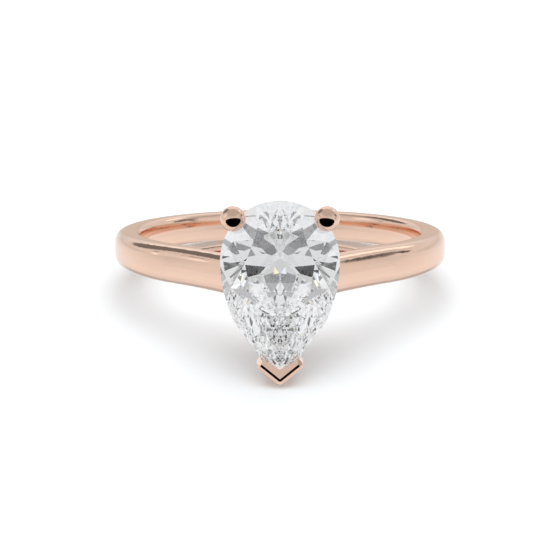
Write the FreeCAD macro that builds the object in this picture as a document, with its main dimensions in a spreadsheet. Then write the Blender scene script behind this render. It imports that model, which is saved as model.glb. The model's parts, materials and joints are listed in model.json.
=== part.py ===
import FreeCAD, Part
import math
import os
import Sketcher

# A solitaire engagement ring: a tapering shank that splits into two rising shoulders and a bridge under
# the head, a two-rail basket, two round claws, one V claw and a pear brilliant. Millimetres.
#
# Every piece is drawn round the finger: X to the right, Z along the finger, the head towards -Y. "Reach"
# is the distance from the finger's axis towards the head. The last step lays the ring down on its side,
# resting on the V claw and on the back of the shank.

SIZES = (
    # shank
    ("finger_radius", 8.25),
    ("shank_thickness", 1.5),
    ("width_middle", 1.95),
    ("width_taper", 0.6),
    ("outer_round", 0.6),
    ("inner_round", 0.35),
    ("blank_width", 6.0),
    ("dome_radius", 4.0),
    ("comfort_land", 0.3),
    ("comfort_radius", 3.0),
    ("comfort_half_width", 1.8),
    # shoulders and bridge
    ("split_angle", 41.0),
    ("rise_radius", 30.0),
    ("slot_angle", 27.5),
    ("bridge_thickness", 1.05),
    ("bridge_half_width", 1.62),
    ("bridge_end_half_width", 1.06),
    ("bridge_round", 0.25),
    ("slot_round", 0.12),
    ("shoulder_top", 11.7),
    ("shoulder_end", 1.4),
    # stone
    ("stone_width", 6.2),
    ("stone_length", 9.3),
    ("stone_centre", 1.16),
    ("girdle_reach", 12.75),
    ("girdle_thickness", 0.04),
    ("crown_height", 0.92),
    ("pavilion_depth", 2.72),
    ("table_ratio", 0.58),
    ("star_drop", 0.42),
    ("lower_half_ratio", 0.78),
    ("facet_margin", 1.05),
    # basket
    ("upper_rail_reach", 10.95),
    ("upper_rail_height", 0.6),
    ("upper_rail_outer", 0.726),
    ("upper_rail_inner", 0.548),
    ("lower_rail_reach", 9.0),
    ("lower_rail_height", 0.75),
    ("lower_rail_centre", 0.35),
    ("lower_rail_outer", 0.435),
    ("lower_rail_inner", 0.274),
    # round claws
    ("claw_foot_side", 1.05),
    ("claw_foot_up", 1.2),
    ("claw_foot_reach", 8.9),
    ("claw_tip_side", 2.425),
    ("claw_tip_up", 3.36),
    ("claw_tip_reach", 13.02),
    ("claw_foot_radius", 0.38),
    ("claw_neck_radius", 0.5),
    ("claw_ball_radius", 0.66),
    # V claw
    ("v_apex", 5.39),
    ("v_half_angle", 50.5),
    ("v_arm_length", 1.68),
    ("v_arm_width", 0.46),
    ("v_back_reach", 12.15),
    ("v_depth", 1.3),
    ("v_throat", 0.85),
    ("v_bevel", 0.18),
    ("v_ridge_width", 0.13),
    ("v_flank_depth", 0.4),
    ("v_flank_slope", 60.0),
    ("v_apex_round", 0.3),
    ("v_corner_round", 0.2),
    ("v_stem_width", 0.7),
    ("v_stem_inset", 0.4),
    ("v_stem_thickness", 0.75),
    ("v_stem_foot", 2.35),
    ("v_stem_foot_reach", 8.9),
    # how the ring lies
    ("lying_angle", 11.702),
    ("lying_shift", 2.302),
    ("lying_lift", 2.727),
)

V = FreeCAD.Vector
ORIGIN = (-1, 1)
X_AXIS = -1
Y_AXIS = -2
START, END, CENTRE = 1, 2, 3

doc = FreeCAD.newDocument("engagement_ring")
sheet = doc.addObject("Spreadsheet::Sheet", "Sizes")
for row, (alias, value) in enumerate(SIZES, start=1):
    sheet.set(f"A{row}", alias)
    sheet.set(f"B{row}", str(value))
    sheet.setAlias(f"B{row}", alias)
doc.recompute()


def size(alias):
    return float(sheet.get(alias))


def new_body(name):
    return doc.addObject("PartDesign::Body", name)


class Outline:
    """A sketch on one of a body's own planes, with its sizes taken from the sheet."""

    def __init__(self, body, name, plane, offset=None):
        self.sketch = body.newObject("Sketcher::SketchObject", name)
        roles = {feature.Role: feature for feature in body.Origin.OriginFeatures}
        self.sketch.AttachmentSupport = [(roles[plane], "")]
        self.sketch.MapMode = "FlatFace"
        if offset:
            self.sketch.setExpression("AttachmentOffset.Base.z", offset)

    def line(self, start, end):
        return self.sketch.addGeometry(Part.LineSegment(V(*start), V(*end)), False)

    def arc(self, centre, radius, first, last):
        circle = Part.Circle(V(*centre), V(0, 0, 1), radius)
        arc = Part.ArcOfCircle(circle, math.radians(first), math.radians(last))
        return self.sketch.addGeometry(arc, False)

    def fix(self, *rule):
        return self.sketch.addConstraint(Sketcher.Constraint(*rule))

    def join(self, *ends):
        for first, second in ends:
            self.fix("Coincident", *first, *second)

    def bind(self, name, expression, *rule):
        index = self.fix(*rule)
        self.sketch.renameConstraint(index, name)
        self.sketch.setExpression(f"Constraints.{name}", expression)


def pad(body, name, outline, length, symmetric=False):
    feature = body.newObject("PartDesign::Pad", name)
    feature.Profile = outline.sketch
    if symmetric:
        feature.SideType = "Symmetric"
    feature.setExpression("Length", length)
    doc.recompute()
    return feature


def pocket(body, name, outline, length, symmetric=True):
    before = body.Shape.Volume
    feature = body.newObject("PartDesign::Pocket", name)
    feature.Profile = outline.sketch
    if symmetric:
        feature.SideType = "Symmetric"
    feature.setExpression("Length", length)
    doc.recompute()
    if body.Shape.Volume > before - 1e-6:
        raise ValueError(name + " removed nothing")
    return feature


def dress(body, kind, name, amount, chosen):
    base = body.Tip
    edges = [f"Edge{i}" for i, edge in enumerate(base.Shape.Edges, start=1) if chosen(edge)]
    if not edges:
        raise ValueError(name + " found no edge")
    feature = body.newObject(f"PartDesign::{kind}", name)
    feature.Base = (base, edges)
    feature.setExpression("Radius" if kind == "Fillet" else "Size", amount)
    doc.recompute()
    return feature


def middle(edge):
    return edge.valueAt((edge.FirstParameter + edge.LastParameter) / 2)


def on_circle(radius):
    """Picks the edges whose middle lies at this distance from the finger's axis, off the ring's plane."""

    def chosen(edge):
        point = middle(edge)
        return abs(math.hypot(point.x, point.y) - radius) < 0.01 and abs(point.z) > 0.5

    return chosen


def polar(radius, degrees):
    """A point of the ring's plane, by its angle from the head's axis (positive to the right)."""
    turn = math.radians(degrees)
    return (radius * math.sin(turn), -radius * math.cos(turn), 0)


# ---------------------------------------------------------------- shank, shoulders and bridge

inner = size("finger_radius")
outer = inner + size("shank_thickness")
crest = inner + size("bridge_thickness")
split = size("split_angle")
slot = size("slot_angle")


def cut_width(body):
    """Trims the blank above and below two planes that open slightly towards the head."""
    outline = Outline(body, body.Name + "_width", "YZ_Plane")
    slope = math.tan(math.radians(size("width_taper")))
    far = 25.0
    for name, sign in (("top", 1), ("bottom", -1)):
        low = size("width_middle") / 2
        back = (far, sign * (low - far * slope), 0)
        front = (-far, sign * (low + far * slope), 0)
        lid_back = (far, sign * far, 0)
        lid_front = (-far, sign * far, 0)
        edge = outline.line(back, front)
        end = outline.line(front, lid_front)
        lid = outline.line(lid_front, lid_back)
        start = outline.line(lid_back, back)
        outline.join(
            ((edge, END), (end, START)),
            ((end, END), (lid, START)),
            ((lid, END), (start, START)),
            ((start, END), (edge, START)),
        )
        for side in (end, start):
            outline.fix("Vertical", side)
        outline.fix("Horizontal", lid)
        outline.bind(f"{name}_far", f"{far}", "DistanceX", *ORIGIN, edge, START, far)
        outline.bind(f"{name}_near", f"{far}", "DistanceX", edge, END, *ORIGIN, far)
        if sign > 0:
            outline.fix("DistanceY", *ORIGIN, lid, START, far)
            rise = ("DistanceY", *ORIGIN, edge, START, back[1])
            climb = ("DistanceY", *ORIGIN, edge, END, front[1])
        else:
            outline.fix("DistanceY", lid, START, *ORIGIN, far)
            rise = ("DistanceY", edge, START, *ORIGIN, -back[1])
            climb = ("DistanceY", edge, END, *ORIGIN, -front[1])
        half = "Sizes.width_middle / 2"
        gain = f"{far} * tan(Sizes.width_taper * 1 deg)"
        outline.bind(f"{name}_rear_half_width", f"{half} - {gain}", *rise)
        outline.bind(f"{name}_front_half_width", f"{half} + {gain}", *climb)
    pocket(body, body.Name + "_trim", outline, "60")


def sector(body, radius, radius_rule, first, last, angle_rules):
    """A band between the finger hole and a radius, from one angle to another (from the head's axis)."""
    outline = Outline(body, body.Name + "_plan", "XY_Plane")
    low, high = first - 90, last - 90
    rim = outline.arc((0, 0, 0), radius, low, high)
    hole = outline.arc((0, 0, 0), inner, low, high)
    right = outline.line(polar(inner, first), polar(radius, first))
    left = outline.line(polar(inner, last), polar(radius, last))
    outline.join(
        ((rim, CENTRE), ORIGIN),
        ((hole, CENTRE), ORIGIN),
        ((right, START), (hole, START)),
        ((right, END), (rim, START)),
        ((left, START), (hole, END)),
        ((left, END), (rim, END)),
    )
    for side, degrees, rule, name in (
        (right, low, angle_rules[0], "first_angle"),
        (left, high, angle_rules[1], "last_angle"),
    ):
        outline.fix("PointOnObject", *ORIGIN, side)
        outline.bind(name, rule, "Angle", side, math.radians(degrees))
    outline.bind("finger_radius", "Sizes.finger_radius", "Radius", hole, inner)
    outline.bind("rim_radius", radius_rule, "Radius", rim, radius)
    pad(body, body.Name + "_blank", outline, "Sizes.blank_width", symmetric=True)


def make_shank():
    """The band from one shoulder round the back to the other: a slightly domed section turned about the finger."""
    body = new_body("shank")
    outline = Outline(body, "shank_profile", "YZ_Plane")
    dome = size("dome_radius")
    half = size("blank_width") / 2
    edge_y = outer - dome + math.sqrt(dome**2 - half**2)
    turn = math.degrees(math.asin(half / dome))
    bore = outline.line((inner, half, 0), (inner, -half, 0))
    under = outline.line((inner, -half, 0), (edge_y, -half, 0))
    face = outline.arc((outer - dome, 0, 0), dome, -turn, turn)
    over = outline.line((edge_y, half, 0), (inner, half, 0))
    outline.join(
        ((bore, END), (under, START)),
        ((under, END), (face, START)),
        ((face, END), (over, START)),
        ((over, END), (bore, START)),
    )
    outline.fix("Vertical", bore)
    outline.fix("Horizontal", under)
    outline.fix("Horizontal", over)
    outline.fix("PointOnObject", face, CENTRE, X_AXIS)
    outline.bind("finger_radius", "Sizes.finger_radius", "DistanceX", *ORIGIN, bore, START, inner)
    outline.bind("half_width", "Sizes.blank_width / 2", "DistanceY", *ORIGIN, bore, START, half)
    outline.bind("dome_radius", "Sizes.dome_radius", "Radius", face, dome)
    centre_rule = "Sizes.finger_radius + Sizes.shank_thickness - Sizes.dome_radius"
    outline.bind("dome_centre", centre_rule, "DistanceX", *ORIGIN, face, CENTRE, outer - dome)
    turned = body.newObject("PartDesign::Revolution", "shank_blank")
    turned.Profile = outline.sketch
    turned.ReferenceAxis = (outline.sketch, ["V_Axis"])
    turned.Midplane = True
    turned.setExpression("Angle", "(360 - 2 * Sizes.split_angle) * 1 deg")
    doc.recompute()
    cut_width(body)
    cut_comfort(body, -1)

    def brim(edge):
        point = middle(edge)
        return 9.3 < math.hypot(point.x, point.y) < outer and 0.5 < abs(point.z) < 1.5

    dress(body, "Fillet", "shank_outer_edges", "Sizes.outer_round", brim)
    dress(body, "Fillet", "shank_inner_edges", "Sizes.inner_round", inside)
    return body


def cut_comfort(body, side):
    """Rounds the inside of the band towards the finger, above and below a narrow land: a comfort fit.

    The profile is drawn where the piece is open, so that no seam shows: side is 1 at the back, -1 at the head.
    """
    outline = Outline(body, body.Name + "_comfort", "YZ_Plane")
    land = size("comfort_land") / 2
    radius = size("comfort_radius")
    half = size("comfort_half_width")
    turn = math.degrees(math.asin((half - land) / radius))
    clear = 0.5
    edge_x = inner + radius - radius * math.cos(math.radians(turn))

    def outward(*ends):
        """The two ends of a horizontal distance, in the order of growing x."""
        return ends if side > 0 else (*ends[2:], *ends[:2])

    for sign in (1, -1):
        base = outline.line((side * inner, sign * land, 0), (side * (inner - clear), sign * land, 0))
        rise = outline.line((side * (inner - clear), sign * land, 0), (side * (inner - clear), sign * half, 0))
        lid = outline.line((side * (inner - clear), sign * half, 0), (side * edge_x, sign * half, 0))
        level_angle = 180 if side > 0 else 0
        first, last = (level_angle - turn, level_angle) if side * sign > 0 else (level_angle, level_angle + turn)
        face = outline.arc((side * (inner + radius), sign * land, 0), radius, first, last)
        near, far = (END, START) if side * sign > 0 else (START, END)
        outline.join(
            ((base, END), (rise, START)),
            ((rise, END), (lid, START)),
            ((lid, END), (face, far)),
            ((face, near), (base, START)),
        )
        outline.fix("Horizontal", base)
        outline.fix("Vertical", rise)
        outline.fix("Horizontal", lid)
        outline.fix("DistanceX", *outward(base, END, base, START), clear)
        level = "upper" if sign > 0 else "lower"
        inner_ends = outward(*ORIGIN, base, START)
        outline.bind(level + "_inner", "Sizes.finger_radius", "DistanceX", *inner_ends, inner)
        outline.bind(level + "_radius", "Sizes.comfort_radius", "Radius", face, radius)
        land_ends = (*ORIGIN, base, START) if sign > 0 else (base, START, *ORIGIN)
        lid_ends = (*ORIGIN, lid, START) if sign > 0 else (lid, START, *ORIGIN)
        centre_ends = (*ORIGIN, face, CENTRE) if sign > 0 else (face, CENTRE, *ORIGIN)
        outline.bind(level + "_land", "Sizes.comfort_land / 2", "DistanceY", *land_ends, land)
        outline.bind(level + "_half", "Sizes.comfort_half_width", "DistanceY", *lid_ends, half)
        outline.bind(level + "_centre", "Sizes.comfort_land / 2", "DistanceY", *centre_ends, land)
    before = body.Shape.Volume
    groove = body.newObject("PartDesign::Groove", body.Name + "_easing")
    groove.Profile = outline.sketch
    groove.ReferenceAxis = (outline.sketch, ["V_Axis"])
    groove.Angle = 360
    doc.recompute()
    if not 0.01 < before - body.Shape.Volume < 0.1 * before:
        raise ValueError(body.Name + " was not eased")


def inside(edge):
    """The long upper and lower edges of the band's rounded inside."""
    point = middle(edge)
    return 0.02 < math.hypot(point.x, point.y) - inner < 0.45 and abs(point.z) > 0.5 and edge.Length > 1.2


def cut_dome(body, side):
    """Gives a shoulder's outer face the same dome as the shank's, about the centre of its rise."""
    rise = size("rise_radius")
    dome = size("dome_radius")
    focus = polar(outer + rise, split)
    offset = "(Sizes.finger_radius + Sizes.shank_thickness + Sizes.rise_radius)"
    outline = Outline(body, body.Name + "_dome", "XZ_Plane", offset + " * cos(Sizes.split_angle * 1 deg)")
    half = size("blank_width") / 2
    clear = 0.5
    reach = rise + dome
    turn = math.degrees(math.asin(half / dome))
    edge_x = reach - math.sqrt(dome**2 - half**2)

    def spot(distance, z):
        return (side * (focus[0] - distance), z, 0)

    axis = outline.line(spot(0, -half), spot(0, half))
    outline.sketch.toggleConstruction(axis)
    front = outline.line(spot(rise - clear, half), spot(rise - clear, -half))
    under = outline.line(spot(rise - clear, -half), spot(edge_x, -half))
    middle_angle = 0 if side > 0 else 180
    face = outline.arc(spot(reach, 0), dome, middle_angle - turn, middle_angle + turn)
    over = outline.line(spot(edge_x, half), spot(rise - clear, half))
    low, high = (START, END) if side > 0 else (END, START)
    outline.join(
        ((front, END), (under, START)),
        ((under, END), (face, low)),
        ((face, high), (over, START)),
        ((over, END), (front, START)),
    )
    outline.fix("Vertical", axis)
    outline.fix("Vertical", front)
    outline.fix("Horizontal", under)
    outline.fix("Horizontal", over)
    outline.fix("PointOnObject", face, CENTRE, X_AXIS)
    outline.fix("DistanceY", *ORIGIN, axis, END, half)
    outline.fix("DistanceY", axis, START, *ORIGIN, half)
    outline.bind("half_width", "Sizes.blank_width / 2", "DistanceY", *ORIGIN, front, START, half)
    outline.bind("dome_radius", "Sizes.dome_radius", "Radius", face, dome)
    focus_rule = offset + " * sin(Sizes.split_angle * 1 deg)"
    ends = (*ORIGIN, axis, START) if side > 0 else (axis, START, *ORIGIN)
    outline.bind("focus", focus_rule, "DistanceX", *ends, focus[0])
    ends = (front, START, axis, END) if side > 0 else (axis, END, front, START)
    outline.bind("front_distance", f"Sizes.rise_radius - {clear}", "DistanceX", *ends, rise - clear)
    ends = (face, CENTRE, axis, START) if side > 0 else (axis, START, face, CENTRE)
    outline.bind("dome_distance", "Sizes.rise_radius + Sizes.dome_radius", "DistanceX", *ends, reach)
    before = body.Shape.Volume
    groove = body.newObject("PartDesign::Groove", body.Name + "_doming")
    groove.Profile = outline.sketch
    groove.ReferenceAxis = (outline.sketch, ["Axis0"])
    groove.Angle = 360
    doc.recompute()
    if not 0.05 < before - body.Shape.Volume < 0.5 * before:
        raise ValueError(body.Name + " was not domed")


def pear(outline, centre_rule, half_rule, centre, half, tag):
    """A pear outline: a half circle, and two larger arcs that meet in a point twice as far away."""
    reach = 2 * half
    side = (half * half + reach * reach) / (2 * half)
    shift = side - half
    turn = math.degrees(math.atan2(reach, shift))
    round_end = outline.arc((0, centre, 0), half, 0, 180)
    right = outline.arc((-shift, centre, 0), side, -turn, 0)
    left = outline.arc((shift, centre, 0), side, 180, 180 + turn)
    outline.fix("Tangent", round_end, START, right, END)
    outline.fix("Tangent", round_end, END, left, START)
    outline.join(((right, START), (left, END)))
    outline.fix("PointOnObject", round_end, CENTRE, Y_AXIS)
    outline.fix("PointOnObject", right, START, Y_AXIS)
    outline.fix("Horizontal", right, CENTRE, round_end, CENTRE)
    outline.fix("Horizontal", left, CENTRE, round_end, CENTRE)
    outline.bind(tag + "_centre", centre_rule, "DistanceY", *ORIGIN, round_end, CENTRE, centre)
    outline.bind(tag + "_half_width", half_rule, "Radius", round_end, half)
    outline.bind(tag + "_point", f"2 * ({half_rule})", "DistanceY", right, START, round_end, CENTRE, reach)


def make_shoulder(name, side):
    """The band's end, rising away from the finger to the upper rail; side is 1 on the right, -1 on the left."""
    body = new_body(name)
    outline = Outline(body, name + "_plan", "XY_Plane")
    rise = size("rise_radius")
    end_x = size("shoulder_end")
    top = size("shoulder_top")
    focus = polar(outer + rise, split)
    start = polar(outer, split)
    root = polar(crest, slot)
    under = math.hypot(root[0] - focus[0], root[1] - focus[1])

    def lift(radius, y):
        return focus[0] - math.sqrt(radius**2 - (y - focus[1]) ** 2)

    crown = (lift(rise, -top), -top, 0)
    drop = focus[1] + math.sqrt(under**2 - (end_x - focus[0]) ** 2)

    def bearing(point, centre):
        return math.degrees(math.atan2(point[1] - centre[1], point[0] - centre[0]))

    def place(point):
        return (side * point[0], point[1], 0)

    def sweep(centre, radius, first, last):
        """An arc from first to last on the right; on the left its ends change places."""
        low, high = bearing(first, centre), bearing(last, centre)
        if side < 0:
            low, high = 180 - high, 180 - low
        return outline.arc(place(centre), radius, low, high)

    finger = sweep((0, 0, 0), inner, polar(inner, slot), polar(inner, split))
    upper = sweep(focus, rise, start, crown)
    lower = sweep(focus, under, root, (end_x, drop))
    near, away = (START, END) if side > 0 else (END, START)
    seam = outline.line(place(polar(inner, split)), place(start))
    step = outline.line(place(polar(inner, slot)), place(root))
    flat = outline.line(place(crown), (side * end_x, -top, 0))
    butt = outline.line((side * end_x, -top, 0), (side * end_x, drop, 0))
    outline.join(
        ((finger, CENTRE), ORIGIN),
        ((lower, CENTRE), (upper, CENTRE)),
        ((seam, START), (finger, away)),
        ((seam, END), (upper, near)),
        ((step, START), (finger, near)),
        ((step, END), (lower, near)),
        ((flat, START), (upper, away)),
        ((flat, END), (butt, START)),
        ((butt, END), (lower, away)),
    )
    outline.fix("PointOnObject", *ORIGIN, seam)
    outline.fix("PointOnObject", *ORIGIN, step)
    outline.fix("PointOnObject", upper, CENTRE, seam)
    outline.fix("Horizontal", flat)
    outline.fix("Vertical", butt)
    if side > 0:
        seam_rule, step_rule = "(Sizes.split_angle - 90) * 1 deg", "(Sizes.slot_angle - 90) * 1 deg"
        seam_turn, step_turn = split - 90, slot - 90
        end_rule = ("DistanceX", *ORIGIN, butt, START, end_x)
    else:
        seam_rule, step_rule = "(-90 - Sizes.split_angle) * 1 deg", "(-90 - Sizes.slot_angle) * 1 deg"
        seam_turn, step_turn = -90 - split, -90 - slot
        end_rule = ("DistanceX", butt, START, *ORIGIN, end_x)
    outline.bind("seam_angle", seam_rule, "Angle", seam, math.radians(seam_turn))
    outline.bind("slot_angle", step_rule, "Angle", step, math.radians(step_turn))
    outline.bind("finger_radius", "Sizes.finger_radius", "Radius", finger, inner)
    outline.bind("rise_radius", "Sizes.rise_radius", "Radius", upper, rise)
    outline.bind("seam_depth", "Sizes.shank_thickness", "Distance", seam, outer - inner)
    outline.bind("bridge_depth", "Sizes.bridge_thickness", "Distance", step, crest - inner)
    outline.bind("top_reach", "Sizes.shoulder_top", "DistanceY", flat, START, *ORIGIN, top)
    outline.bind("end_side", "Sizes.shoulder_end", *end_rule)
    pad(body, name + "_blank", outline, "Sizes.blank_width", symmetric=True)
    cut_width(body)
    cut_comfort(body, 1)
    cut_dome(body, side)

    def rising(edge):
        point = middle(edge)
        distance = math.dist((abs(point.x), point.y), focus[:2])
        return 0.05 < distance - rise < 0.25 and abs(point.z) > 0.5

    def slotted(edge):
        point = middle(edge)
        return abs(math.dist((abs(point.x), point.y), focus[:2]) - under) < 0.01 and abs(point.z) > 0.5

    dress(body, "Fillet", name + "_outer_edges", "Sizes.outer_round", rising)
    dress(body, "Fillet", name + "_inner_edges", "Sizes.inner_round", inside)
    dress(body, "Fillet", name + "_slot_edges", "Sizes.slot_round", slotted)
    seat = Outline(body, name + "_seat", "XZ_Plane")
    half = size("stone_width") / 2 * size("upper_rail_outer")
    pear(seat, "Sizes.stone_centre", "Sizes.stone_width / 2 * Sizes.upper_rail_outer",
         size("stone_centre"), half, "seat")
    pocket(body, name + "_butt", seat, "60")
    return body


def make_bridge():
    """The part of the band that closes the finger hole below the head, widest in the middle."""
    body = new_body("bridge")
    sector(
        body,
        crest,
        "Sizes.finger_radius + Sizes.bridge_thickness",
        -slot,
        slot,
        ("(-Sizes.slot_angle - 90) * 1 deg", "(Sizes.slot_angle - 90) * 1 deg"),
    )
    outline = Outline(body, "bridge_width", "XZ_Plane")
    reach = crest * math.sin(math.radians(slot))
    middle_half = size("bridge_half_width")
    end_half = size("bridge_end_half_width")
    bow = (reach**2 + (middle_half - end_half) ** 2) / (2 * (middle_half - end_half))
    turn = math.degrees(math.asin(reach / bow))
    ceiling = 8.0
    for name, sign in (("top", 1), ("bottom", -1)):
        centre = (0, sign * (middle_half - bow), 0)
        curve = outline.arc(centre, bow, sign * 90 - turn, sign * 90 + turn)
        head, tail = (START, END) if sign > 0 else (END, START)
        right = outline.line((reach, sign * end_half, 0), (reach, sign * ceiling, 0))
        lid = outline.line((reach, sign * ceiling, 0), (-reach, sign * ceiling, 0))
        left = outline.line((-reach, sign * ceiling, 0), (-reach, sign * end_half, 0))
        outline.join(
            ((curve, head), (right, START)),
            ((right, END), (lid, START)),
            ((lid, END), (left, START)),
            ((left, END), (curve, tail)),
        )
        outline.fix("Vertical", right)
        outline.fix("Vertical", left)
        outline.fix("Horizontal", lid)
        outline.fix("PointOnObject", curve, CENTRE, Y_AXIS)
        side_rule = "(Sizes.finger_radius + Sizes.bridge_thickness) * sin(Sizes.slot_angle * 1 deg)"
        outline.bind(name + "_side", side_rule, "DistanceX", *ORIGIN, right, START, reach)
        bow_rule = (
            f"(({side_rule})^2 + (Sizes.bridge_half_width - Sizes.bridge_end_half_width)^2)"
            " / (2 * (Sizes.bridge_half_width - Sizes.bridge_end_half_width))"
        )
        outline.bind(name + "_bow", bow_rule, "Radius", curve, bow)
        if sign > 0:
            lid_rule = ("DistanceY", *ORIGIN, lid, START, ceiling)
            edge_rule = ("DistanceY", *ORIGIN, right, START, end_half)
        else:
            lid_rule = ("DistanceY", lid, START, *ORIGIN, ceiling)
            edge_rule = ("DistanceY", right, START, *ORIGIN, end_half)
        outline.fix(*lid_rule)
        outline.bind(name + "_edge", "Sizes.bridge_end_half_width", *edge_rule)
    pocket(body, "bridge_trim", outline, "60")
    cut_comfort(body, 1)
    dress(body, "Fillet", "bridge_inner_edges", "Sizes.inner_round", inside)
    dress(body, "Fillet", "bridge_outer_edges", "Sizes.bridge_round", on_circle(crest))
    return body


# ---------------------------------------------------------------- stone

def pear_point(degrees, scale):
    """A point of the stone's outline, by its direction from the centre (90 is the round end)."""
    half = size("stone_width") / 2
    tip = size("stone_length") - half
    side = (half * half + tip * tip) / (2 * half)
    turn = math.radians(degrees)
    across, up = math.cos(turn), math.sin(turn)
    if up >= 0:
        radius = half
    else:
        shift = (side - half) * abs(across)
        radius = math.sqrt(side**2 - (side - half) ** 2 * up**2) - shift
    return V(radius * across * scale, 0, size("stone_centre") + radius * up * scale)


def at_reach(point, reach):
    return V(point.x, -reach, point.z)


def meeting(first, second, reach):
    """The point at a reach where two facets, each given by three points, meet."""
    rows = []
    for a, b, c in (first, second):
        normal = (b - a).cross(c - a)
        rows.append((normal.x, normal.z, normal.dot(a) + normal.y * reach))
    (a1, b1, c1), (a2, b2, c2) = rows
    scale = a1 * b2 - a2 * b1
    return V((c1 * b2 - c2 * b1) / scale, -reach, (a1 * c2 - a2 * c1) / scale)


MAIN_FACETS = (90, 136, 180, 224, 316, 360, 404)
BETWEEN = (113, 158, 202, 270, 338, 382, 427)


def make_facets():
    """The cut stone before its girdle is rounded: table, crown and pavilion facets."""
    count = len(MAIN_FACETS)
    margin = size("facet_margin")
    girdle_top = size("girdle_reach") + size("girdle_thickness") / 2
    girdle_low = girdle_top - size("girdle_thickness")
    table_reach = girdle_top + size("crown_height")
    star_reach = table_reach - size("star_drop")
    culet = V(0, -(girdle_low - size("pavilion_depth")), size("stone_centre"))
    half_reach = girdle_low - size("pavilion_depth") * size("lower_half_ratio")
    rim = [pear_point(a, margin) for a in MAIN_FACETS]
    gap = [pear_point(a, margin) for a in BETWEEN]
    table = [at_reach(pear_point(a, size("table_ratio")), table_reach) for a in MAIN_FACETS]
    high = [at_reach(p, girdle_top) for p in rim]
    high_gap = [at_reach(p, girdle_top) for p in gap]
    low = [at_reach(p, girdle_low) for p in rim]
    low_gap = [at_reach(p, girdle_low) for p in gap]
    along = [gap[i] - gap[i - 1] for i in range(count)]
    crown_main = [(table[i], high[i], high[i] + along[i]) for i in range(count)]
    under_main = [(culet, low[i], low[i] + along[i]) for i in range(count)]
    stars = [meeting(crown_main[i], crown_main[(i + 1) % count], star_reach) for i in range(count)]
    halves = [meeting(under_main[i], under_main[(i + 1) % count], half_reach) for i in range(count)]
    loops = [table]
    for i in range(count):
        j = (i + 1) % count
        loops += [
            (table[i], stars[i - 1], high[i], stars[i]),
            (table[i], stars[i], table[j]),
            (stars[i], high[i], high_gap[i]),
            (stars[i], high_gap[i], high[j]),
            (high[i], low[i], low_gap[i], high_gap[i]),
            (high_gap[i], low_gap[i], low[j], high[j]),
            (culet, halves[i - 1], low[i], halves[i]),
            (halves[i], low[i], low_gap[i]),
            (halves[i], low_gap[i], low[j]),
        ]
    faces = [Part.Face(Part.makePolygon([*loop, loop[0]])) for loop in loops]
    solid = Part.Solid(Part.Shell(faces))
    if solid.Volume < 0:
        solid.reverse()
    facets = doc.addObject("Part::Feature", "stone_facets")
    facets.Shape = solid
    return facets


def make_girdle():
    """A pear-shaped bar that rounds the stone's girdle."""
    body = new_body("stone_girdle")
    outline = Outline(body, "girdle_outline", "XZ_Plane", "Sizes.girdle_reach - 4")
    half = size("stone_width") / 2
    pear(outline, "Sizes.stone_centre", "Sizes.stone_width / 2", size("stone_centre"), half, "girdle")
    pad(body, "girdle_bar", outline, "8")
    return body


# ---------------------------------------------------------------- basket and claws

def make_rail(name, prefix, centre_rule, centre):
    """A pear-shaped rail of the basket; its hole has the same centre."""
    body = new_body(name)
    outline = Outline(body, name + "_outline", "XZ_Plane", f"Sizes.{prefix}_reach")
    for edge in ("outer", "inner"):
        rule = f"Sizes.stone_width / 2 * Sizes.{prefix}_{edge}"
        half = size("stone_width") / 2 * size(f"{prefix}_{edge}")
        pear(outline, centre_rule, rule, centre, half, edge)
    pad(body, name + "_bar", outline, f"Sizes.{prefix}_height")
    return body


def make_claw(name, side):
    """A round wire, a little thicker at its neck, that ends in a ball over the girdle."""
    body = new_body(name)
    foot = V(side * size("claw_foot_side"), -size("claw_foot_reach"), size("claw_foot_up"))
    tip = V(side * size("claw_tip_side"), -size("claw_tip_reach"), size("claw_tip_up"))
    length = foot.distanceToPoint(tip)
    foot_radius = size("claw_foot_radius")
    neck = size("claw_neck_radius")
    ball = size("claw_ball_radius")
    neck_at = length - math.sqrt(ball**2 - neck**2)
    outline = Outline(body, name + "_profile", "XZ_Plane")
    axis = outline.line((0, length + ball, 0), (0, 0, 0))
    base = outline.line((0, 0, 0), (foot_radius, 0, 0))
    wall = outline.line((foot_radius, 0, 0), (neck, neck_at, 0))
    start = math.degrees(math.atan2(neck_at - length, neck))
    round_end = outline.arc((0, length, 0), ball, start, 90)
    outline.join(
        ((axis, END), (base, START)),
        ((base, END), (wall, START)),
        ((wall, END), (round_end, START)),
        ((round_end, END), (axis, START)),
        ((base, START), ORIGIN),
    )
    outline.fix("Horizontal", base)
    outline.fix("Vertical", axis)
    outline.fix("PointOnObject", round_end, CENTRE, Y_AXIS)
    length_rule = (
        "sqrt((Sizes.claw_tip_side - Sizes.claw_foot_side)^2"
        " + (Sizes.claw_tip_up - Sizes.claw_foot_up)^2"
        " + (Sizes.claw_tip_reach - Sizes.claw_foot_reach)^2)"
    )
    outline.bind("length", length_rule, "DistanceY", base, START, round_end, CENTRE, length)
    outline.bind("foot_radius", "Sizes.claw_foot_radius", "Distance", base, foot_radius)
    outline.bind("ball_radius", "Sizes.claw_ball_radius", "Radius", round_end, ball)
    outline.bind("neck_radius", "Sizes.claw_neck_radius", "DistanceX", *ORIGIN, wall, END, neck)
    turned = body.newObject("PartDesign::Revolution", name + "_wire")
    turned.Profile = outline.sketch
    turned.ReferenceAxis = (outline.sketch, ["V_Axis"])
    turned.Angle = 360
    doc.recompute()
    body.Placement = FreeCAD.Placement(foot, FreeCAD.Rotation(V(0, 0, 1), tip - foot))
    return body


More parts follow.
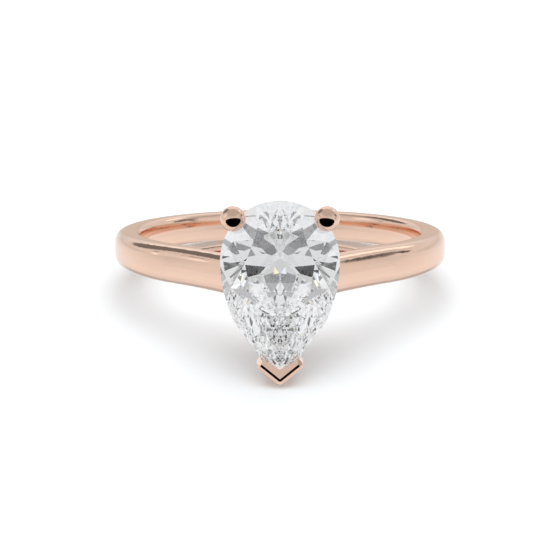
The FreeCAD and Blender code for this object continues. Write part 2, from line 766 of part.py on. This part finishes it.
def make_v_claw():
    """A chevron over the stone's point, on a stem that runs back to the foot of the basket."""
    body = new_body("v_blank")
    back = size("v_back_reach")
    depth = size("v_depth")
    outline = Outline(body, "v_outline", "XZ_Plane", "Sizes.v_back_reach")
    lean = math.radians(size("v_half_angle"))
    arm = V(math.sin(lean), math.cos(lean), 0) * size("v_arm_length")
    across = V(-math.cos(lean), math.sin(lean), 0) * size("v_arm_width")
    apex = V(0, -size("v_apex"), 0)
    outer_end = apex + arm
    inner_end = outer_end + across
    inner_apex = V(0, apex.y + size("v_throat"), 0)

    def mirrored(point):
        return V(-point.x, point.y, 0)

    corners = [apex, outer_end, inner_end, inner_apex, mirrored(inner_end), mirrored(outer_end)]
    sides = [outline.line(a, b) for a, b in zip(corners, corners[1:] + corners[:1])]
    outline.join(*(((a, END), (b, START)) for a, b in zip(sides, sides[1:] + sides[:1])))
    outline.fix("PointOnObject", sides[0], START, Y_AXIS)
    outline.fix("PointOnObject", sides[3], START, Y_AXIS)
    outline.fix("Perpendicular", sides[0], sides[1])
    outline.fix("Symmetric", sides[0], END, sides[4], END, Y_AXIS)
    outline.fix("Symmetric", sides[1], END, sides[3], END, Y_AXIS)
    outline.bind("apex", "Sizes.v_apex", "DistanceY", sides[0], START, *ORIGIN, size("v_apex"))
    outline.bind("arm_angle", "(90 - Sizes.v_half_angle) * 1 deg", "Angle", sides[0], math.pi / 2 - lean)
    outline.bind("arm_length", "Sizes.v_arm_length", "Distance", sides[0], size("v_arm_length"))
    outline.bind("arm_width", "Sizes.v_arm_width", "Distance", sides[1], size("v_arm_width"))
    throat_ends = (sides[0], START, sides[3], START)
    outline.bind("throat", "Sizes.v_throat", "DistanceY", *throat_ends, size("v_throat"))
    pad(body, "v_arms", outline, "Sizes.v_depth")

    def upright(x, z):
        """Picks the edge that runs the whole depth of the claw at x, and at -x, and z."""

        def chosen(edge):
            point = middle(edge)
            return math.dist((abs(point.x), point.z), (x, z)) < 0.01 and edge.Length > depth - 0.01

        return chosen

    def brow(edge):
        """The front edges but the two that face the stone."""
        point = middle(edge)
        from_outside = (point.z - apex.y) * math.sin(lean) - abs(point.x) * math.cos(lean)
        return abs(point.y + back + depth) < 0.01 and from_outside < size("v_arm_width")

    dress(body, "Fillet", "v_apex_round", "Sizes.v_apex_round", upright(0, apex.y))
    dress(body, "Fillet", "v_corner_round", "Sizes.v_corner_round", upright(outer_end.x, outer_end.y))
    dress(body, "Chamfer", "v_bevel", "Sizes.v_bevel", brow)
    flank = Outline(body, "v_flank_outline", "XZ_Plane", "Sizes.v_back_reach + Sizes.v_depth")
    rim = size("v_bevel") + size("v_ridge_width")
    foot_point = V(0, apex.y + rim / math.sin(lean), 0)
    side_x = 2.5
    lid_y = -1.0
    side_point = V(side_x, foot_point.y + side_x / math.tan(lean), 0)
    lid_point = V(side_x, lid_y, 0)
    ring = [foot_point, side_point, lid_point, mirrored(lid_point), mirrored(side_point)]
    walls = [flank.line(a, b) for a, b in zip(ring, ring[1:] + ring[:1])]
    flank.join(*(((a, END), (b, START)) for a, b in zip(walls, walls[1:] + walls[:1])))
    flank.fix("PointOnObject", walls[0], START, Y_AXIS)
    flank.fix("Vertical", walls[1])
    flank.fix("Symmetric", walls[0], END, walls[3], END, Y_AXIS)
    flank.fix("Symmetric", walls[1], END, walls[2], END, Y_AXIS)
    flank.fix("DistanceX", *ORIGIN, walls[1], START, side_x)
    flank.fix("DistanceY", walls[1], END, *ORIGIN, -lid_y)
    flank.bind("arm_angle", "(90 - Sizes.v_half_angle) * 1 deg", "Angle", walls[0], math.pi / 2 - lean)
    rise_rule = "Sizes.v_apex - (Sizes.v_bevel + Sizes.v_ridge_width) / sin(Sizes.v_half_angle * 1 deg)"
    flank.bind("foot", rise_rule, "DistanceY", walls[0], START, *ORIGIN, -foot_point.y)
    slope = pocket(body, "v_flank", flank, "Sizes.v_flank_depth", symmetric=False)
    slope.setExpression("TaperAngle", "-Sizes.v_flank_slope * 1 deg")
    doc.recompute()
    stem = Outline(body, "stem_outline", "YZ_Plane")
    thick = size("v_stem_thickness")
    foot = size("v_stem_foot")
    foot_y = -size("v_stem_foot_reach")
    head_y = -(back + 0.2)
    head = size("v_apex") - size("v_stem_inset")
    points = [
        V(foot_y, -foot, 0),
        V(head_y, -head, 0),
        V(head_y, thick - head, 0),
        V(foot_y, thick - foot, 0),
    ]
    edges = [stem.line(a, b) for a, b in zip(points, points[1:] + points[:1])]
    stem.join(*(((a, END), (b, START)) for a, b in zip(edges, edges[1:] + edges[:1])))
    stem.fix("Vertical", edges[1])
    stem.fix("Vertical", edges[3])
    stem.bind("foot_reach", "Sizes.v_stem_foot_reach", "DistanceX", edges[3], END, *ORIGIN, -foot_y)
    stem.bind("head_reach", "Sizes.v_back_reach + 0.2", "DistanceX", edges[1], START, *ORIGIN, -head_y)
    stem.bind("foot_drop", "Sizes.v_stem_foot", "DistanceY", edges[3], END, *ORIGIN, foot)
    stem.bind("head_drop", "Sizes.v_apex - Sizes.v_stem_inset", "DistanceY", edges[1], START, *ORIGIN, head)
    stem.bind("foot_depth", "Sizes.v_stem_thickness", "Distance", edges[3], thick)
    stem.bind("head_depth", "Sizes.v_stem_thickness", "Distance", edges[1], thick)
    pad(body, "v_stem", stem, "Sizes.v_stem_width", symmetric=True)
    return body


def group(name, *members):
    fused = doc.addObject("Part::MultiFuse", name)
    fused.Shapes = list(members)
    return fused


def trimmed(name, blank, tool):
    piece = doc.addObject("Part::Cut", name)
    piece.Base = blank
    piece.Tool = tool
    return piece


shank = make_shank()
left_shoulder = make_shoulder("left_shoulder", -1)
right_shoulder = make_shoulder("right_shoulder", 1)
bridge = make_bridge()
facets = make_facets()
girdle = make_girdle()
center_stone = doc.addObject("Part::Common", "center_stone")
center_stone.Base = facets
center_stone.Tool = girdle

# the space taken by the band, which the basket's feet are cut to
band_space = doc.addObject("Part::Cylinder", "band_space")
band_space.setExpression("Radius", "Sizes.finger_radius + Sizes.bridge_thickness")
band_space.setExpression("Height", "Sizes.blank_width * 2")
band_space.setExpression("Placement.Base.z", "-Sizes.blank_width")
doc.recompute()

# a copy of the stone in the drawing position, used only as a cutting tool
stone_space = doc.addObject("Part::Common", "stone_space")
stone_space.Base = facets
stone_space.Tool = girdle

left_wire = make_claw("left_wire", -1)
right_wire = make_claw("right_wire", 1)
v_blank = make_v_claw()
claw_space = group("claw_space", stone_space, band_space)
rail_space = group("rail_space", stone_space, band_space, left_wire, right_wire, v_blank)
upper_bar = make_rail("upper_bar", "upper_rail", "Sizes.stone_centre", size("stone_centre"))
lower_bar = make_rail("lower_bar", "lower_rail", "Sizes.lower_rail_centre", size("lower_rail_centre"))
left_claw = trimmed("left_claw", left_wire, claw_space)
right_claw = trimmed("right_claw", right_wire, claw_space)
v_claw = trimmed("v_claw", v_blank, claw_space)
upper_rail = trimmed("upper_gallery", upper_bar, rail_space)
lower_rail = trimmed("lower_gallery", lower_bar, rail_space)
doc.recompute()

PIECES = (
    shank,
    left_shoulder,
    right_shoulder,
    bridge,
    lower_rail,
    upper_rail,
    left_claw,
    right_claw,
    v_claw,
    center_stone,
)

for piece in PIECES:
    piece.Placement = FreeCAD.Placement(V(0, 0, 0), FreeCAD.Rotation(V(-1, 0, 0), size("lying_angle")))
    piece.setExpression("Placement.Rotation.Angle", "Sizes.lying_angle * 1 deg")
    piece.setExpression("Placement.Base.y", "Sizes.lying_shift")
    piece.setExpression("Placement.Base.z", "Sizes.lying_lift")
doc.recompute()

for thing in doc.Objects:
    if "Invalid" in thing.State or "Error" in thing.State:
        raise ValueError(thing.Label + " failed: " + str(thing.State))
os.makedirs("parts", exist_ok=True)
for piece in PIECES:
    shape = piece.Shape
    if shape.isNull() or not shape.isValid() or len(shape.Solids) != 1:
        raise ValueError(piece.Label + " is not one valid solid")
    shape.exportStep(f"parts/{piece.Label}.step")
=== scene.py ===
import json
import math

import bpy
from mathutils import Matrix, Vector


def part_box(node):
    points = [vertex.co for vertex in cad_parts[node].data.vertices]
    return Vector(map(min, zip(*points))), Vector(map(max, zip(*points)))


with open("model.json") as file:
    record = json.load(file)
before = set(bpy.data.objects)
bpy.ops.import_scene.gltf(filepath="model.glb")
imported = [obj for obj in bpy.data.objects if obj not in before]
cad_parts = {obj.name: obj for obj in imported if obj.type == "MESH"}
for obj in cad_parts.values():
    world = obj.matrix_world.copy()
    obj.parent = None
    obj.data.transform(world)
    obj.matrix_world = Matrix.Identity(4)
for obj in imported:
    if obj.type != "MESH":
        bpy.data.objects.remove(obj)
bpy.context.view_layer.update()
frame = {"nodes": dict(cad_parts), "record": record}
nodes = frame["nodes"]
scene = bpy.context.scene
MM = 0.001

# ---------------------------------------------------------------- sizes and places, in millimetres
GIRDLE_REACH = 12.75  # from the finger's middle to the stone's middle
BALL_RADIUS = 0.66  # of the round claws' ends
AIR_GAP = 0.003  # between the stone and the gold
FLOOR_HALF = 2000
WALL_RADIUS = 180
WALL_HEIGHT = 120
WALL_SIDES = 96
KEY_SIZE = 500
KEY_PLACE = Vector((0, -20, 400))
CARD_SIDES = 48
BALL_CARD_RADIUS = 1.6
BALL_CARD_DISTANCE = 2.2
CAMERA_DISTANCE = 100
CAMERA_DROP = 2.08
SENSOR_WIDTH = 36
LENS = 108.386

# ---------------------------------------------------------------- looks
GOLD_DEEP = (0.885, 0.625, 0.495)
GOLD_PALE = (0.905, 0.645, 0.515)
GOLD_POLISH = (0.06, 0.12)  # roughness from its smoothest to its dullest
MARK_DEPTH = 0.01  # of the marks in the polish, in millimetres
MARK_STRENGTH = 0.02
DIAMOND_INDEX = 2.417
DIAMOND_COOL = (0.985, 0.99, 1.0)
FLOOR_DEEP = (0.865, 0.895, 0.915)
FLOOR_PALE = (0.875, 0.905, 0.925)
KEY_POWER = 1.4  # watts
WHITE = (1.0, 1.0, 1.0)
WARM = (1.0, 0.88, 0.77)
GREY = (0.55, 0.55, 0.55)
BLACK = (0.0, 0.0, 0.0)
SKY = (
    # elevation, brightness
    (-90, 0.95),
    (-60, 0.86),
    (-45, 0.86),
    (-32, 0.94),
    (-18, 0.98),
    (-11, 0.90),
    (-5, 0.84),
    (0, 0.71),
    (12, 0.84),
    (30, 0.74),
    (45, 0.70),
    (65, 0.72),
    (90, 0.75),
)
PATCHES = (
    # azimuth, elevation, inner and outer half-angle, brightness, tint
    (180, 35, 8, 30, 0.95, WHITE),
    (180, -5, 9, 17, 0.68, WARM),
    (-85, 26, 3, 12, 1.10, WHITE),
    (138, 33, 4, 10, 1.35, WHITE),
    (-162, 23, 2, 7, 1.15, WHITE),
    (-98, 11, 1, 4, 1.15, WHITE),
    (-122, 50, 8, 20, 0.45, WHITE),
    (-135, 29, 13, 20, 0.20, WHITE),
    (-104, 20, 1, 4, 0.35, WHITE),
    (100, 50, 6, 18, 0.50, WHITE),
    (97, 25, 3, 14, 0.25, WHITE),
    (103, 18, 3, 8, 0.14, WHITE),
    (81, 10, 3, 7, 0.25, WHITE),
    (145, -46, 8, 22, 0.56, WHITE),
    (-145, -46, 8, 22, 0.56, WHITE),
)
STONE_CARDS = (
    # name, azimuth, elevation, distance and radius in millimetres, tint
    ("stone_fill", 0, -28, 60, 110, (0.88, 0.89, 0.91)),
    ("stone_front", 0, 25, 30, 7.5, (0.02, 0.02, 0.02)),
    ("stone_below", 0, -35, 30, 10, (0.30, 0.30, 0.31)),
    ("stone_above", 0, 72, 30, 17, (0.34, 0.34, 0.35)),
    ("stone_low", 0, -60, 30, 9, (0.30, 0.30, 0.31)),
    ("stone_warm", 40, 45, 30, 4, (1.25, 1.15, 0.85)),
    ("stone_cool", -40, 45, 30, 4, (1.05, 1.12, 1.25)),
)
METAL_CARDS = (
    # name, forward and up from the stone's middle, half width and half height in millimetres
    ("claw_card", 1.75, 2.45, 6.6, 2.1),
    ("v_claw_card", 5.7, -4.7, 2.7, 1.9),
)
BALL_CARD_ELEVATION = 75
CAMERA_TILT = math.radians(9.98)  # above the plane of the band

# ---------------------------------------------------------------- where the finger is
bore = next(mount for mount in frame["record"]["mounts"] if mount["name"] == "finger_bore")
finger = Vector(bore["pos_m"])
axis = Vector(bore["axis"]).normalized()
right = Vector((1, 0, 0))
rear = axis.cross(right).normalized()
stone_middle = finger - rear * GIRDLE_REACH * MM


def direction(azimuth, elevation):
    """A direction by its azimuth, 0 in front of the head and positive to the right, and its elevation."""
    turn, climb = math.radians(azimuth), math.radians(elevation)
    return Vector((math.sin(turn) * math.cos(climb), -math.cos(turn) * math.cos(climb), math.sin(climb)))


def ball_middle(name, side):
    """The middle of a claw's ball, which is the claw's outer, front and top end."""
    least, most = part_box(name)
    outer = most[0] if side > 0 else least[0]
    inset = BALL_RADIUS * MM
    return Vector((outer - side * inset, least[1] + inset, most[2] - inset))


# ---------------------------------------------------------------- objects
def add_object(name, data):
    thing = bpy.data.objects.new(name, data)
    scene.collection.objects.link(thing)
    return thing


def add_stage(name, points, faces, material):
    """Part of the studio: a mesh with one material."""
    mesh = bpy.data.meshes.new(name)
    mesh.from_pydata(points, [], faces)
    mesh.materials.append(material)
    thing = add_object(name, mesh)
    return thing


def hide_from(thing, *rays):
    for ray in rays:
        setattr(thing, "visible_" + ray, False)


def aim(thing, place, towards):
    """Puts a lamp or a camera at a place, looking along a direction."""
    thing.location = place
    thing.rotation_mode = "QUATERNION"
    thing.rotation_quaternion = towards.to_track_quat("-Z", "Y")


# ---------------------------------------------------------------- materials
def material_of(name, shader_type):
    """A material with one shader; returns the material, its node tree and the shader."""
    material = bpy.data.materials.new(name)
    material.use_nodes = True
    tree = material.node_tree
    tree.nodes.clear()
    out = tree.nodes.new("ShaderNodeOutputMaterial")
    shader = tree.nodes.new(shader_type)
    tree.links.new(shader.outputs[0], out.inputs["Surface"])
    return material, tree, shader


def noise(tree, scale, detail=2):
    """A pattern fixed to the object, with so many patches to the metre."""
    coords = tree.nodes.new("ShaderNodeTexCoord")
    pattern = tree.nodes.new("ShaderNodeTexNoise")
    pattern.inputs["Scale"].default_value = scale
    pattern.inputs["Detail"].default_value = detail
    tree.links.new(coords.outputs["Object"], pattern.inputs["Vector"])
    return pattern.outputs["Fac"]


def blend_colours(tree, factor, first, last, start=0, stop=1):
    """A colour that goes from first to last as the factor goes from start to stop."""
    ramp = tree.nodes.new("ShaderNodeValToRGB")
    for element, position, colour in zip(ramp.color_ramp.elements, (start, stop), (first, last)):
        element.position = position
        element.color = (*colour, 1)
    tree.links.new(factor, ramp.inputs["Fac"])
    return ramp.outputs["Color"]


def gold_material():
    """Polished rose gold, with a faint drift of colour and fine marks in the polish."""
    material, tree, metal = material_of("rose_gold", "ShaderNodeBsdfPrincipled")
    metal.inputs["Metallic"].default_value = 1.0
    colour = blend_colours(tree, noise(tree, 260, 4), GOLD_DEEP, GOLD_PALE, 0.35, 0.65)
    tree.links.new(colour, metal.inputs["Base Color"])
    marks = noise(tree, 2600, 3)
    polish = tree.nodes.new("ShaderNodeMapRange")
    polish.inputs["To Min"].default_value, polish.inputs["To Max"].default_value = GOLD_POLISH
    tree.links.new(marks, polish.inputs["Value"])
    tree.links.new(polish.outputs["Result"], metal.inputs["Roughness"])
    bump = tree.nodes.new("ShaderNodeBump")
    bump.inputs["Strength"].default_value = MARK_STRENGTH
    bump.inputs["Distance"].default_value = MARK_DEPTH * MM
    tree.links.new(marks, bump.inputs["Height"])
    tree.links.new(bump.outputs["Normal"], metal.inputs["Normal"])
    return material


def diamond_material():
    """A clear stone, a trace cooler in places."""
    material, tree, stone = material_of("diamond", "ShaderNodeBsdfPrincipled")
    stone.inputs["IOR"].default_value = DIAMOND_INDEX
    stone.inputs["Roughness"].default_value = 0.0
    stone.inputs["Transmission Weight"].default_value = 1.0
    colour = blend_colours(tree, noise(tree, 900), DIAMOND_COOL, WHITE)
    tree.links.new(colour, stone.inputs["Base Color"])
    return material


def floor_material():
    """Matt paint, a trace uneven."""
    material, tree, paint = material_of("studio_floor", "ShaderNodeBsdfPrincipled")
    paint.inputs["Roughness"].default_value = 0.9
    paint.inputs["Specular IOR Level"].default_value = 0.0
    colour = blend_colours(tree, noise(tree, 40), FLOOR_DEEP, FLOOR_PALE)
    tree.links.new(colour, paint.inputs["Base Color"])
    return material


def glow_material(name, tint):
    """Light of one tint."""
    material, _, glow = material_of(name, "ShaderNodeEmission")
    glow.inputs["Color"].default_value = (*tint, 1)
    return material


# ---------------------------------------------------------------- the ring
gold = gold_material()
diamond = diamond_material()
for name, piece in nodes.items():
    is_stone = name == "center_stone"
    piece.data.materials.clear()
    piece.data.materials.append(diamond if is_stone else gold)
    for polygon in piece.data.polygons:
        polygon.use_smooth = not is_stone
    if not is_stone:
        hide_from(piece, "transmission")
gap = nodes["center_stone"].modifiers.new("air_gap", "DISPLACE")
gap.mid_level = 0.0
gap.strength = -AIR_GAP * MM


# ---------------------------------------------------------------- floor and backdrop
def make_floor(half):
    """A square floor, seen by the camera and by matt surfaces."""
    corners = [(-half, -half, 0), (half, -half, 0), (half, half, 0), (-half, half, 0)]
    floor = add_stage("studio_floor", corners, [(0, 1, 2, 3)], floor_material())
    hide_from(floor, "glossy", "transmission")


def make_backdrop(radius, height):
    """A white wall round the floor, seen only by the camera."""
    turns = [2 * math.pi * step / WALL_SIDES for step in range(WALL_SIDES)]
    foot = [(radius * math.cos(turn), radius * math.sin(turn), 0) for turn in turns]
    crest = [(x, y, height) for x, y, _ in foot]
    walls = []
    for step in range(WALL_SIDES):
        after = (step + 1) % WALL_SIDES
        walls.append((step, after, WALL_SIDES + after, WALL_SIDES + step))
    wall = add_stage("backdrop", foot + crest, walls, glow_material("backdrop", WHITE))
    hide_from(wall, "diffuse", "glossy", "transmission", "shadow")


make_floor(FLOOR_HALF * MM)
make_backdrop(WALL_RADIUS * MM, WALL_HEIGHT * MM)


# ---------------------------------------------------------------- light
def sky_shade(tree, towards):
    """The studio's brightness by elevation alone."""
    parts = tree.nodes.new("ShaderNodeSeparateXYZ")
    tree.links.new(towards, parts.inputs["Vector"])
    climb = tree.nodes.new("ShaderNodeMath")
    climb.operation = "ARCSINE"
    tree.links.new(parts.outputs["Z"], climb.inputs[0])
    spread = tree.nodes.new("ShaderNodeMapRange")
    spread.inputs["From Min"].default_value = -math.pi / 2
    spread.inputs["From Max"].default_value = math.pi / 2
    tree.links.new(climb.outputs["Value"], spread.inputs["Value"])
    ramp = tree.nodes.new("ShaderNodeValToRGB")
    tree.links.new(spread.outputs["Result"], ramp.inputs["Fac"])
    stops = ramp.color_ramp.elements
    stops.remove(stops[1])
    for elevation, level in SKY:
        position = (elevation + 90) / 180
        stop = stops[0] if position == 0 else stops.new(position)
        stop.color = (level, level, level, 1)
    return ramp.outputs["Color"]


def add_patch(tree, towards, shade, middle, inner, outer, colour):
    """Lays a round patch with a soft edge, its half-angles in degrees, over the shade so far."""
    dot = tree.nodes.new("ShaderNodeVectorMath")
    dot.operation = "DOT_PRODUCT"
    dot.inputs[1].default_value = middle
    tree.links.new(towards, dot.inputs[0])
    edge = tree.nodes.new("ShaderNodeMapRange")
    edge.interpolation_type = "SMOOTHSTEP"
    edge.inputs["From Min"].default_value = math.cos(math.radians(outer))
    edge.inputs["From Max"].default_value = math.cos(math.radians(inner))
    tree.links.new(dot.outputs["Value"], edge.inputs["Value"])
    mix = tree.nodes.new("ShaderNodeMix")
    mix.data_type = "RGBA"
    mix.inputs["B"].default_value = (*colour, 1)
    tree.links.new(edge.outputs["Result"], mix.inputs["Factor"])
    tree.links.new(shade, mix.inputs["A"])
    return mix.outputs["Result"]


def make_world():
    """The studio all round: a pale room with soft-edged light and dark patches, which the gold mirrors."""
    world = bpy.data.worlds.new("studio")
    scene.world = world
    world.use_nodes = True
    tree = world.node_tree
    tree.nodes.clear()
    out = tree.nodes.new("ShaderNodeOutputWorld")
    sky = tree.nodes.new("ShaderNodeBackground")
    tree.links.new(sky.outputs["Background"], out.inputs["Surface"])
    towards = tree.nodes.new("ShaderNodeTexCoord").outputs["Generated"]
    shade = sky_shade(tree, towards)
    for azimuth, elevation, inner, outer, level, tint in PATCHES:
        colour = [level * part for part in tint]
        shade = add_patch(tree, towards, shade, direction(azimuth, elevation), inner, outer, colour)
    tree.links.new(shade, sky.inputs["Color"])


def make_key_light():
    """A broad soft lamp overhead, which lights the floor and casts the shadow."""
    lamp = bpy.data.lights.new("key", "AREA")
    lamp.shape = "RECTANGLE"
    lamp.size = lamp.size_y = KEY_SIZE * MM
    lamp.energy = KEY_POWER
    key = add_object("key", lamp)
    aim(key, KEY_PLACE * MM, -KEY_PLACE)
    hide_from(key, "glossy", "transmission")


def add_card(name, place, facing, wide, tall, tint, unseen_by):
    """A glowing oval near the head, seen only in polished metal or only through the stone."""
    side = Vector((0, 0, 1)).cross(facing).normalized()
    top = facing.cross(side)
    turns = [2 * math.pi * step / CARD_SIDES for step in range(CARD_SIDES)]
    rim = [place + side * math.cos(turn) * wide * MM + top * math.sin(turn) * tall * MM for turn in turns]
    card = add_stage(name, rim, [tuple(range(CARD_SIDES))], glow_material(name, tint))
    hide_from(card, "camera", "diffuse", "shadow", unseen_by)


make_world()
make_key_light()
for name, azimuth, elevation, distance, radius, tint in STONE_CARDS:
    facing = direction(azimuth, elevation)
    add_card(name, stone_middle + facing * distance * MM, facing, radius, radius, tint, "glossy")
for name, ahead, lift, wide, tall in METAL_CARDS:
    place = stone_middle + Vector((0, -ahead, lift)) * MM
    add_card(name, place, direction(0, 0), wide, tall, BLACK, "transmission")
above = direction(0, BALL_CARD_ELEVATION)
for name, claw, side in (("left_ball_card", "left_claw", -1), ("right_ball_card", "right_claw", 1)):
    place = ball_middle(claw, side) + above * BALL_CARD_DISTANCE * MM
    add_card(name, place, above, BALL_CARD_RADIUS, BALL_CARD_RADIUS, GREY, "transmission")


# ---------------------------------------------------------------- camera
def make_camera():
    """In front of the head, a little above the plane of the band, level from left to right."""
    forward = (rear * math.cos(CAMERA_TILT) - axis * math.sin(CAMERA_TILT)).normalized()
    up = (rear * math.sin(CAMERA_TILT) + axis * math.cos(CAMERA_TILT)).normalized()
    lens = bpy.data.cameras.new("camera")
    lens.sensor_width = SENSOR_WIDTH
    lens.lens = LENS
    lens.clip_start, lens.clip_end = 0.001, 10
    camera = add_object("camera", lens)
    aim(camera, finger - forward * CAMERA_DISTANCE * MM - up * CAMERA_DROP * MM, forward)
    scene.camera = camera


make_camera()
scene.view_settings.view_transform = "Standard"
scene.cycles.max_bounces = 32
scene.cycles.glossy_bounces = 24
scene.cycles.transmission_bounces = 24
